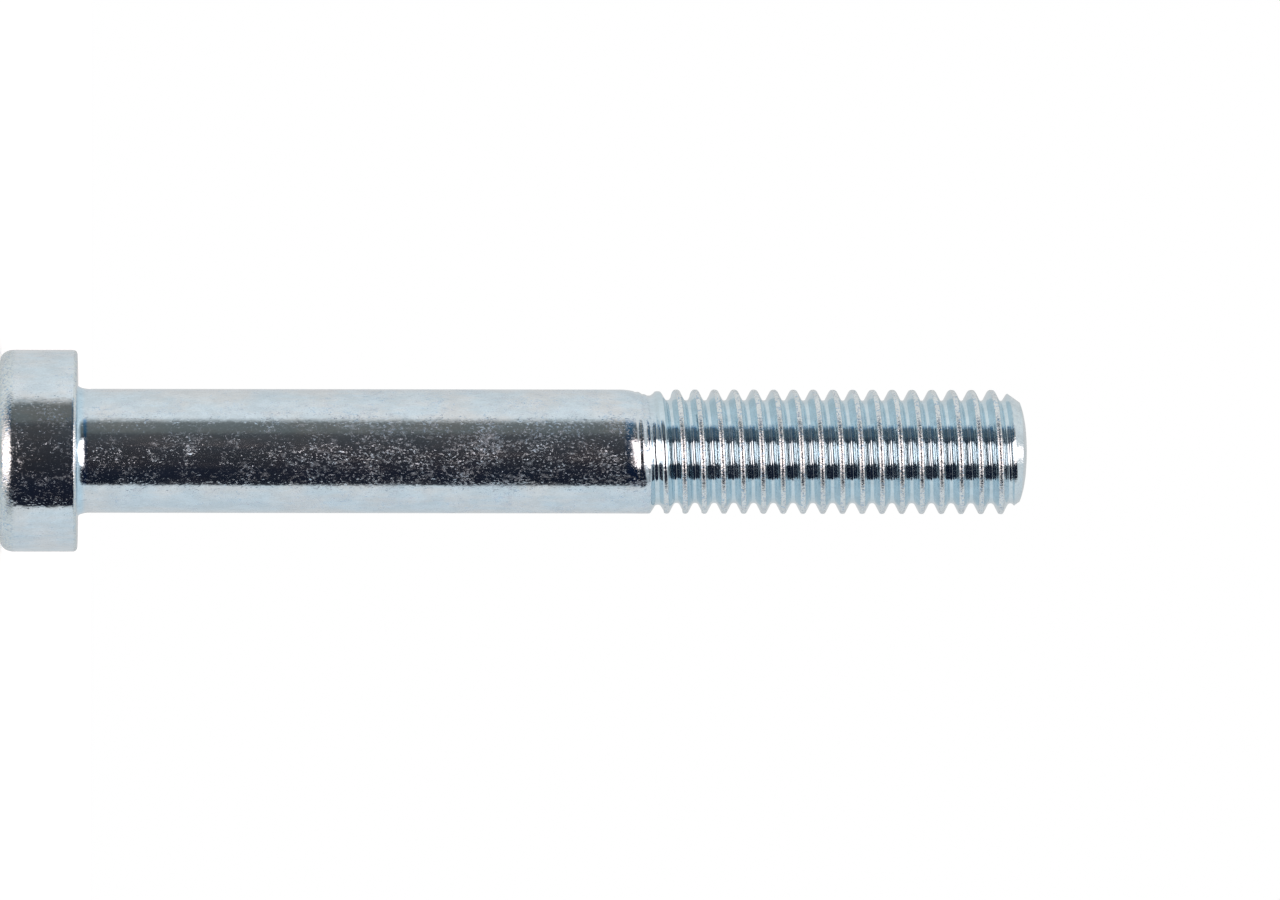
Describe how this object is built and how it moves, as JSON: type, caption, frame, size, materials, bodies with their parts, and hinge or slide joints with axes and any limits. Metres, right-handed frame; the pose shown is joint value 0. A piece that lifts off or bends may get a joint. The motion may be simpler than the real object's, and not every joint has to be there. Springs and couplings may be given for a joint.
{
  "type": "hex socket cap screw",
  "caption": "Low-head hex socket cap screw with a plain shank, a coarse right-hand thread and a pilot recess under the socket.",
  "frame": {"origin": "centre of the bearing face under the head", "axes": "+Z along the axis from the head to the tip; +X through a corner of the socket's hexagon; the screw stands on its head, with the thread up"},
  "size_m": [0.0128, 0.0128, 0.0649],
  "materials": {
    "zinc_plated_steel": "bright zinc plating with a pale blue passivation, fine pits and scratches"
  },
  "bodies": {
    "root": {"screw": "zinc_plated_steel"}
  },
  "joints": []
}
